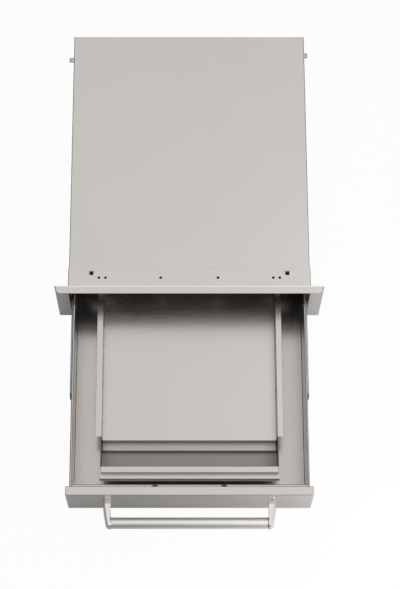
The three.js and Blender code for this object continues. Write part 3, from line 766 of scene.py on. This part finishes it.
# Slide noses: a dark moulded bumper pushed on the front end of each middle member, which
# lands softly inside the drawer front when the drawer shuts.
def moulded_plastic(name, hex_colour):
    """Black acetal from a spark-eroded mould: even and matt, with a very fine stipple that
    breaks up the highlight."""
    material, tree, shader = new_material(name, metallic=0)
    place = add_node(tree, "TexCoord")
    stipple = add_node(
        tree,
        "TexNoise",
        {"Vector": (place, "Object"), "Scale": 1 / (STIPPLE_WIDTH * MM), "Detail": 2},
    )
    rough = add_node(tree, "MapRange", {"Value": (stipple, "Fac"), "To Min": 0.45, "To Max": 0.65})
    bump = add_node(
        tree, "Bump", {"Height": (stipple, "Fac"), "Strength": 0.3, "Distance": RELIEF_DEPTH}
    )
    fill(tree, shader, {"Roughness": (rough, "Result"), "Normal": (bump, "Normal")})
    fill(tree, shader, {"Base Color": linear(hex_colour)})
    return material


STIPPLE_WIDTH = 0.4
SEAT = 0.1 * MM
NOSE_ROUND = 1.4 * MM
TONGUE_CORNER = 0.3 * MM
TONGUE_INSET = {"left": np.array([2, 2, 1, 2]) * MM, "right": np.array([1, 2, 2, 2]) * MM}
bumper_plastic = moulded_plastic("black_moulded_acetal", "#26282B")
for side in ("left", "right"):
    low, high = corners_of("slide_bumper_" + side)
    member_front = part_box("slide_middle_" + side)[0][Y]
    depths = low[Y] + np.array([0, 0.3, 1, 2.2]) * NOSE_ROUND
    depths = np.append(depths, member_front - SEAT)
    drawn = NOSE_ROUND * np.array([1, 0.55, 0.2, 0, 0])
    outlines = [rectangle(low[[X, Z]] + d, high[[X, Z]] - d, NOSE_ROUND * 0.5) for d in drawn]
    nose = solid("slide_nose_" + side, np.array(outlines), Y, depths)
    body = "slide_middle_member_" + side
    make_piece(nose, bumper_plastic, body, ["slide_bumper_" + side], edge=0)
    tongue_low = low[[X, Z]] + TONGUE_INSET[side][:2]
    tongue_high = high[[X, Z]] - TONGUE_INSET[side][2:]
    tongue_plan = rectangle(tongue_low, tongue_high, TONGUE_CORNER)
    tongue_ends = [member_front - SEAT, high[Y]]
    tongue = solid("nose_tongue_" + side, tongue_plan, Y, tongue_ends)
    make_piece(tongue, bumper_plastic, body)

# Rear brackets: zinc-plated hooks behind the slides. The foot lies on the housing wall,
# and the pierced tab sticks out through it to be screwed to the counter's frame.
BRACKET_SHEET = 1.5 * MM
BRACKET_CORNER = 3 * MM
TAB_HOLE_RADIUS = 1.8 * MM
TAB_CORNERS = {
    "left": np.array([0.1, 0.8, 3, 0.1]) * MM,
    "right": np.array([0.8, 0.1, 0.1, 3]) * MM,
}
for side, sign in SIDES:
    low, high = corners_of("slide_rear_bracket_" + side)
    tab_start, tab_end = PLATE_LOW[Y] + TAB_PLACES[side] * MM
    middle = (low[Z] + high[Z]) / 2
    wall_face = sign * (wall_inside - SEAT)
    foot_low = min(wall_face, wall_face - sign * BRACKET_SHEET)
    foot_plan = rectangle([low[Y], low[Z]], [high[Y], high[Z]], BRACKET_CORNER)
    foot_ends = [foot_low, foot_low + BRACKET_SHEET]
    foot = solid("bracket_foot_" + side, foot_plan, X, foot_ends)
    make_piece(foot, zinc_steel, "housing", ["slide_rear_bracket_" + side])
    tip = high[X] if sign > 0 else low[X]
    across = sorted([tip, wall_face - sign * BRACKET_SHEET])
    outline = rectangle([across[0], tab_start], [across[1], tab_end], TAB_CORNERS[side])
    heights = middle + BRACKET_SHEET * np.array([-0.5, 0.5])
    tab = solid("bracket_tab_" + side, outline, Z, heights)
    hole_at = [sign * shell_high[X] + (tip - sign * shell_high[X]) / 2, (tab_start + tab_end) / 2]
    hole = solid("hole", circle(hole_at, TAB_HOLE_RADIUS), Z, heights + [-CUT_PAST, CUT_PAST])
    make_piece(cut_through(tab, [hole]), zinc_steel, "housing")


# Drawer front: a hollow pan folded from brushed stainless, its face grained across. The
# handle's screws go through the face, and it carries lips along its top and bottom only.
face_steel = brushed_stainless(
    "brushed_stainless_drawer", "#C6C1BD", "#BAB5B1", grain=X, line=1.4, roughness=0.24,
    relief=0.25,
)
FRONT_SHEET = 1 * MM
FRONT_BEND = 1.6 * MM
FRONT_LIP = 14 * MM
front_low, front_high = corners_of("drawer_front")
front_outlines, front_depths = folded_pan(
    front_low[[X, Z]], front_high[[X, Z]], front_low[Y], front_high[Y], FRONT_SHEET, FRONT_BEND,
    lips=(0, FRONT_LIP),
)
drawer_front = solid("drawer_front_pan", front_outlines, Y, front_depths)
make_piece(drawer_front, face_steel, "drawer", ["drawer_front"], edge=0)

# Drawer tub: floor and both sides folded from one stainless sheet, with the rims turned
# out over the slides. It is grained from front to back.
tub_steel = brushed_stainless(
    "brushed_stainless_tub", "#B9B4B0", "#AFABA7", grain=Y, line=1.6, roughness=0.24,
    relief=0.15,
)
TUB_SHEET = 1.1 * MM
TUB_BEND = 2 * MM
RIM_BEND = 0.8 * MM
TUB_RIM = 1.6 * MM
SLIDE_SPACE = 12.7 * MM
TUB_HALF = wall_inside - SLIDE_SPACE
tub_low, tub_high = corners_of("drawer_tub")
side_middle = TUB_HALF - TUB_SHEET / 2
rim_middle = tub_high[Z] - TUB_SHEET / 2
floor_middle = tub_low[Z] + TUB_SHEET / 2
rim_end = TUB_HALF + TUB_RIM
tub_line = rounded_line(
    [
        [-rim_end, rim_middle],
        [-side_middle, rim_middle],
        [-side_middle, floor_middle],
        [side_middle, floor_middle],
        [side_middle, rim_middle],
        [rim_end, rim_middle],
    ],
    [RIM_BEND, TUB_BEND, TUB_BEND, RIM_BEND],
)
tub = folded_sheet("tub_sheet", tub_line, TUB_SHEET, Y, tub_low, tub_high)
make_piece(tub, tub_steel, "drawer", ["drawer_tub"])

# Inner front and back: stainless panels spot-welded between the tub's sides. The front
# one has its rim turned forward to the drawer front, with two notches and five small weld
# marks along it.
NOTCH_PLACE = 76 * MM
NOTCH_WIDTH = 11.5 * MM
NOTCH_DEPTH = 4.4 * MM
NOTCH_CORNER = 0.8 * MM
RIM_SHORT = 0.9 * MM
PANEL_BEND = 1.2 * MM
BACK_RIM = 6 * MM
WELD_PLACES = np.array([-197, -98.4, 0, 98.4, 197]) * MM
WELD_RADIUS = 1.6 * MM
WELD_TAPER = np.array([1, 1, 0.7, 0.2])
WELD_RISES = MM * np.array([-0.3, 0.02, 0.14, 0.2])
WELD_STEPS = 16
inner_low, inner_high = corners_of("drawer_inner_front")
panel_middle = inner_high[Y] - TUB_SHEET / 2
panel_line = rounded_line(
    [
        [inner_low[Y] + RIM_SHORT, inner_high[Z] - TUB_SHEET / 2],
        [panel_middle, inner_high[Z] - TUB_SHEET / 2],
        [panel_middle, inner_low[Z] + TUB_SHEET / 2],
        [inner_low[Y], inner_low[Z] + TUB_SHEET / 2],
    ],
    PANEL_BEND,
)
panel = folded_sheet("inner_front_panel", panel_line, TUB_SHEET, X, inner_low, inner_high)
notch_cuts = []
for place in (-NOTCH_PLACE, NOTCH_PLACE):
    notch = rectangle(
        [place - NOTCH_WIDTH / 2, inner_low[Y] - CUT_PAST],
        [place + NOTCH_WIDTH / 2, inner_low[Y] + NOTCH_DEPTH],
        NOTCH_CORNER,
    )
    heights = [inner_high[Z] - 2 * TUB_SHEET, inner_high[Z] + TUB_SHEET]
    notch_cuts.append(solid("notch", notch, Z, heights))
make_piece(
    cut_through(panel, notch_cuts), tub_steel, "drawer", ["drawer_inner_front"]
)
rim_centre = inner_low[Y] + RIM_SHORT + NOTCH_DEPTH / 2
weld_stations = inner_high[Z] + WELD_RISES
weld_radii = WELD_RADIUS * WELD_TAPER
for number, place in enumerate(WELD_PLACES):
    rings = circle([place, rim_centre], weld_radii, WELD_STEPS)
    nugget = solid(f"rim_weld_{number}", rings, Z, weld_stations)
    make_piece(nugget, zinc_steel, "drawer", edge=0)
rear_low, rear_high = corners_of("drawer_back")
rear_line = rounded_line(
    [
        [rear_low[Y] - BACK_RIM, rear_high[Z] - TUB_SHEET / 2],
        [rear_high[Y] - TUB_SHEET / 2, rear_high[Z] - TUB_SHEET / 2],
        [rear_high[Y] - TUB_SHEET / 2, rear_low[Z]],
    ],
    PANEL_BEND,
)
rear_panel = folded_sheet("drawer_back_panel", rear_line, TUB_SHEET, X, rear_low, rear_high)
make_piece(rear_panel, tub_steel, "drawer", ["drawer_back"])

# Pan: a stainless pan set into the tub, on its floor. One sheet makes its floor and sides,
# painted darker as the shade down in the pan under the tray, another the stepped front
# with its rim and ledge, and a third its back.
pan_steel = brushed_stainless(
    "satin_stainless_pan", "#C6C1BD", "#BBB6B2", grain=X, line=1.4, roughness=0.29,
    relief=0.2,
)
# Painted shade: the pan's floor and sides get a darker steel colour that stands in for the shade
# deep in the pan under the tray.
painted_shade_pan_steel = brushed_stainless(
    "stainless_pan_painted_shade", "#8E8B84", "#817E78", grain=X, line=1.4, roughness=0.42,
    relief=0.25,
)
PAN_SHEET = 1 * MM
PAN_BEND = 1.5 * MM
TIGHT_BEND = 0.6 * MM
pan_low, pan_high = corners_of("pan_tub")
wall_x = pan_high[X] - PAN_SHEET / 2
pan_line = rounded_line(
    [
        [-wall_x, pan_high[Z]],
        [-wall_x, pan_low[Z] + PAN_SHEET / 2],
        [wall_x, pan_low[Z] + PAN_SHEET / 2],
        [wall_x, pan_high[Z]],
    ],
    PAN_BEND,
)
pan = folded_sheet("pan_sheet", pan_line, PAN_SHEET, Y, pan_low, pan_high)
make_piece(pan, painted_shade_pan_steel, "drawer", ["pan_tub"])
step_low, step_high = corners_of("pan_front")
STEP_RIM = 15 * MM
STEP_DROP = 13.6 * MM
RIM_INSET = 1.4 * MM
LEDGE_LIP = 18 * MM
PAN_BACK_CORNER = 1 * MM
rim_half = pan_high[X] - RIM_INSET
rim_z = step_high[Z] - PAN_SHEET / 2
ledge_z = rim_z - STEP_DROP
wall_y = step_high[Y] - PAN_SHEET / 2
drop_y = step_high[Y] - STEP_RIM + PAN_SHEET / 2
lip_y = step_low[Y] + PAN_SHEET / 2
lip_bottom = ledge_z - LEDGE_LIP
rim_line = rounded_line(
    [[wall_y, step_low[Z]], [wall_y, rim_z], [drop_y, rim_z], [drop_y, ledge_z - PAN_SHEET / 2]],
    [PAN_BEND, TIGHT_BEND],
)
ledge_line = rounded_line(
    [[drop_y - PAN_SHEET / 2, ledge_z], [lip_y, ledge_z], [lip_y, lip_bottom]], PAN_BEND
)
for name, line, half_width, stands_for in (
    ("pan_front_rim", rim_line, rim_half, ["pan_front"]),
    ("pan_front_ledge", ledge_line, step_high[X], ()),
):
    part_of_front = folded_sheet(name, line, PAN_SHEET, X, [-half_width], [half_width])
    make_piece(part_of_front, pan_steel, "drawer", stands_for)
end_low, end_high = corners_of("pan_back")
end_plan = rectangle(end_low[[X, Z]], end_high[[X, Z]], PAN_BACK_CORNER)
end_wall = solid("pan_back_wall", end_plan, Y, [end_low[Y], end_high[Y]])
make_piece(end_wall, pan_steel, "drawer", ["pan_back"])

# Tray: a shallow stainless channel whose rims ride on the pan's side walls, so that it
# slides to and fro over the pan. A small step of sheet, its colour painted darker as the
# shade in the pan below the tray, is welded under its front edge, its lip turned down to
# just over the pan's floor.
tray_low, tray_high = corners_of("tray_channel")
TRAY_FLOOR_DROP = 33.8 * MM
TRAY_INSET = 2.3 * MM
LIP_PLAY = 0.6 * MM
tray_wall = pan_high[X] - TRAY_INSET
tray_rim_z = tray_high[Z] - PAN_SHEET / 2
tray_floor_z = tray_rim_z - TRAY_FLOOR_DROP
tray_line = rounded_line(
    [
        [tray_low[X], tray_rim_z],
        [-tray_wall, tray_rim_z],
        [-tray_wall, tray_floor_z],
        [tray_wall, tray_floor_z],
        [tray_wall, tray_rim_z],
        [tray_high[X], tray_rim_z],
    ],
    PAN_BEND,
)
tray = folded_sheet("tray_sheet", tray_line, PAN_SHEET, Y, tray_low, tray_high)
make_piece(tray, pan_steel, "tray", ["tray_channel"])
# Painted shade: the step's darker colour stands in for the shade under the tray's front edge.
painted_shade_step_steel = brushed_stainless(
    "stainless_step_painted_shade", "#AFABA6", "#A39F9A", grain=X, line=1.4, roughness=0.38,
    relief=0.15,
)
hold_low, hold_high = corners_of("tray_front_step")
drop_at = tray_low[Y] + PAN_SHEET / 2
tray_step_line = rounded_line(
    [
        [hold_high[Y], hold_high[Z] - PAN_SHEET / 2],
        [drop_at, hold_high[Z] - PAN_SHEET / 2],
        [drop_at, hold_low[Z] + PAN_SHEET / 2],
        [hold_low[Y] + PAN_SHEET / 2, hold_low[Z] + PAN_SHEET / 2],
        [hold_low[Y] + PAN_SHEET / 2, pan_low[Z] + PAN_SHEET + LIP_PLAY],
    ],
    [TIGHT_BEND, PAN_BEND, TIGHT_BEND],
)
tray_step = folded_sheet("tray_step", tray_step_line, PAN_SHEET, X, hold_low, hold_high)
make_piece(tray_step, painted_shade_step_steel, "tray", ["tray_front_step"])


# Handle: a round stainless bar between two cast stainless posts. Each is flat on its inner
# side, with a low boss round the bar, and rounded like a D on its outer side and tip. A
# screw from inside the drawer front holds each post.
def polished_stainless(name, hex_colour, grain, roughness):
    """Stainless bar stock polished with fine belts: bright, with hairlines round the bar
    that blur its long highlight a little."""
    material, tree, shader = new_material(name)
    place = add_node(tree, "TexCoord")
    stretch = [1 / (HAIR_LENGTH * MM)] * 3
    stretch[grain] = 1 / (HAIR_WIDTH * MM)
    turned = add_node(tree, "Mapping", {"Vector": (place, "Object"), "Scale": stretch})
    hairs = add_node(tree, "TexNoise", {"Vector": (turned, "Vector"), "Scale": 1, "Detail": 4})
    gloss = add_node(
        tree,
        "MapRange",
        {"Value": (hairs, "Fac"), "To Min": roughness - 0.04, "To Max": roughness + 0.06},
    )
    relief = add_node(
        tree, "Bump", {"Height": (hairs, "Fac"), "Strength": 0.08, "Distance": HAIR_DEPTH}
    )
    fill(tree, shader, {"Roughness": (gloss, "Result"), "Normal": (relief, "Normal")})
    fill(tree, shader, {"Base Color": linear(hex_colour)})
    return material


HAIR_LENGTH = 20
HAIR_WIDTH = 0.8
HAIR_DEPTH = 0.04 * MM
bar_steel = polished_stainless("satin_stainless_bar", "#E6E3E0", X, 0.5)
post_steel = polished_stainless("polished_stainless_posts", "#D6D2CF", Z, 0.12)
BAR_CHAMFER = 0.5 * MM
BAR_RADIUS = 12.5 * MM
ROUND_STEPS = 64
bar_low, bar_high = corners_of("handle_bar")
bar_axis = (bar_low + bar_high)[[Y, Z]] / 2
bar_ends = np.array([bar_low[X], bar_low[X] + BAR_CHAMFER])
bar_stations = np.concatenate([bar_ends, -bar_ends[::-1]])
bar_radii = BAR_RADIUS - BAR_CHAMFER * np.array([1, 0, 0, 1])
bar = solid("handle_tube", circle(bar_axis, bar_radii, ROUND_STEPS), X, bar_stations)
make_piece(bar, bar_steel, "drawer", ["handle_bar"], edge=0)
POST_REACH = 63.8 * MM
POST_BASE, POST_BOW, POST_SHOULDER = 18.1 * MM, 15.5 * MM, 10.2 * MM
POST_CORNER = 9.5 * MM
POST_HALF_HEIGHT = 13 * MM
POST_SIDE_RADIUS = 18.6 * MM
POST_LEVELS = 15
BOW_STEPS = 15
TIP_STEPS = 10
BOSS_RADIUS = 14 * MM
BOSS_LENGTH = 1.6 * MM
face_y = front_low[Y] - SEAT
boss_start = bar_high[X] + SEAT
post_start = boss_start + BOSS_LENGTH
bow = np.linspace(0, 1, BOW_STEPS)[:, None]
shoulder_y = POST_CORNER - POST_REACH
bow_ends = np.array([[POST_BASE, 0], [POST_BOW, shoulder_y / 2], [POST_SHOULDER, shoulder_y]])
bowed = (1 - bow) ** 2 * bow_ends[0] + 2 * bow * (1 - bow) * bow_ends[1] + bow**2 * bow_ends[2]
levels = POST_HALF_HEIGHT * np.linspace(-1, 1, POST_LEVELS)
tip_centre = np.array([POST_SHOULDER - POST_CORNER, shoulder_y])
post_plans = []
for drawn in POST_SIDE_RADIUS - np.sqrt(POST_SIDE_RADIUS**2 - levels**2):
    last_turn = math.degrees(math.acos(np.clip(-tip_centre[0] / (POST_CORNER - drawn), -1, 1)))
    tip = arc_line(tip_centre, POST_CORNER - drawn, 0, -min(last_turn, 90), TIP_STEPS)
    inner_side = [[0, tip[-1, 1]], [0, 0]]
    post_plans.append(np.vstack([inner_side, bowed - [drawn, 0], tip[1:]]))
boss_stations = boss_start + MM * np.array([0, 0.15, 0.5, 1, 1.8])
boss_radii = BOSS_RADIUS - MM * np.array([1.1, 0.5, 0.15, 0, 0])
for side, sign in SIDES:
    screw_low, screw_high = corners_of("handle_screw_" + side)
    plans = np.array(post_plans) * [sign, 1] + [sign * post_start, face_y]
    post_heights = (screw_low[Z] + screw_high[Z]) / 2 + levels
    post = solid("handle_post_cast_" + side, plans, Z, post_heights)
    make_piece(post, post_steel, "drawer", ["handle_post_" + side])
    boss_rings = circle(bar_axis, boss_radii, ROUND_STEPS)
    boss = solid("post_boss_" + side, boss_rings, X, sign * boss_stations)
    make_piece(boss, post_steel, "drawer", edge=0)

# Handle screws: pan-head machine screws in zinc-plated steel with a cross recess, seen
# only from behind, inside the hollow drawer front.
HEAD_RADIUS = 4.5 * MM
HEAD_STEPS = 28
RECESS_ARMS = np.array([[2.4, 0.5], [0.5, 2.4]])
RECESS_DEPTH = 1.6 * MM
for side in ("left", "right"):
    low, high = corners_of("handle_screw_" + side)
    axis = (low + high)[[X, Z]] / 2
    head_back = high[Y]
    profile = np.array([[0.3, -3], [1, -3], [1, -1.6], [0.85, -0.7], [0.5, -0.1], [0.1, 0]])
    stations = head_back + profile[:, 1] * MM
    radii = profile[:, 0] * HEAD_RADIUS
    head = solid("screw_head_" + side, circle(axis, radii, HEAD_STEPS), Y, stations)
    recess = []
    for arm in RECESS_ARMS * MM:
        plan = rectangle(axis - arm, axis + arm)
        recess.append(solid("recess", plan, Y, [head_back - RECESS_DEPTH, head_back + CUT_PAST]))
    for cutter in recess:
        head = cut_through(head, [cutter])
    make_piece(head, zinc_steel, "drawer", ["handle_screw_" + side], edge=0)

# Floor: a plain pale studio floor that keeps the object's soft shadow. For the camera most
# of its white is its own, so that it stays a clean ground, and the metal mirrors its paint.
FLOOR_HALF = 15
FLOOR_GAP = 0.5 * MM
WHITE_SEEN = 0.96
WHITE_MIRRORED = 0.08


def own_white(tree):
    """How white the backdrop is by itself: nearly full for the camera and for what shows
    through glass, and little in what metal mirrors, as this metal mirrors a dim room."""
    rays = add_node(tree, "LightPath")
    through = add_node(
        tree,
        "Math",
        {0: (rays, "Is Camera Ray"), 1: (rays, "Is Transmission Ray")},
        operation="MAXIMUM",
    )
    shown = add_node(tree, "Math", {0: (through, "Value"), 1: WHITE_SEEN}, operation="MULTIPLY")
    return add_node(
        tree,
        "Math",
        {0: (rays, "Is Glossy Ray"), 1: WHITE_MIRRORED, 2: (shown, "Value")},
        operation="MULTIPLY_ADD",
    )


floor_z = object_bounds()[0][Z] - FLOOR_GAP
floor_corners = rectangle([-FLOOR_HALF, -FLOOR_HALF], [FLOOR_HALF, FLOOR_HALF])
floor_plane = bpy.data.meshes.new("studio_floor")
floor_plane.from_pydata(
    [(x, y, floor_z) for x, y in floor_corners], [], [range(len(floor_corners))]
)
studio_floor = bpy.data.objects.new("studio_floor", floor_plane)
scene.collection.objects.link(studio_floor)
floor_paint, floor_tree, floor_shader = new_material("matt_pale_floor", metallic=0)
fill(floor_tree, floor_shader, {"Base Color": linear("#C8C8C8"), "Roughness": 0.9})
white = add_node(floor_tree, "Emission", {"Strength": 1})
ground = add_node(
    floor_tree,
    "MixShader",
    {0: (own_white(floor_tree), "Value"), 1: (floor_shader, "BSDF"), 2: (white, "Emission")},
)
floor_tree.links.new(ground.outputs[0], floor_tree.nodes["Material Output"].inputs["Surface"])
floor_plane.materials.append(floor_paint)

# Light: the soft glow of one large softbox hung overhead and a little behind, dimming
# toward the horizon, and on the right one small lamp low in front and one high up.
SKY_CENTRE = (0.06, 0.12, 0.99)
SKY_EDGES = (0.5, 0.95)
SKY_LEVELS = (0.09, 1.11)
world = bpy.data.worlds.new("studio_surround")
world.use_nodes = True
scene.world = world
world_tree = world.node_tree
toward = add_node(world_tree, "TexCoord")
near = add_node(
    world_tree, "VectorMath", {0: (toward, "Generated"), 1: SKY_CENTRE}, operation="DOT_PRODUCT"
)
level = add_node(
    world_tree,
    "MapRange",
    {
        "Value": (near, "Value"),
        "From Min": SKY_EDGES[0],
        "From Max": SKY_EDGES[1],
        "To Min": SKY_LEVELS[0],
        "To Max": SKY_LEVELS[1],
    },
    interpolation_type="SMOOTHSTEP",
)
glow = add_node(
    world_tree,
    "Math",
    {0: (level, "Result"), 1: (own_white(world_tree), "Value")},
    operation="MAXIMUM",
)
surround = world_tree.nodes["Background"]
fill(world_tree, surround, {"Strength": (glow, "Value"), "Color": linear("#FFFFFF")})

LAMPS = {"low_lamp": ([0.7, -1.15, 0.35], 0.3, 6), "high_lamp": ([1.1, -0.1, 1.9], 0.9, 3.5)}
LAMPS_AIM = np.array([0.2, -0.8, 0])
for name, (place, width, power) in LAMPS.items():
    soft = bpy.data.lights.new(name, "AREA")
    soft.shape = "DISK"
    soft.size = width
    soft.energy = power
    lamp = bpy.data.objects.new(name, soft)
    lamp.location = place
    aim = LAMPS_AIM - place
    tilt = math.atan2(math.hypot(aim[X], aim[Y]), -aim[Z])
    lamp.rotation_euler = (tilt, 0, math.atan2(-aim[X], aim[Y]))
    lamp.visible_camera = False
    scene.collection.objects.link(lamp)
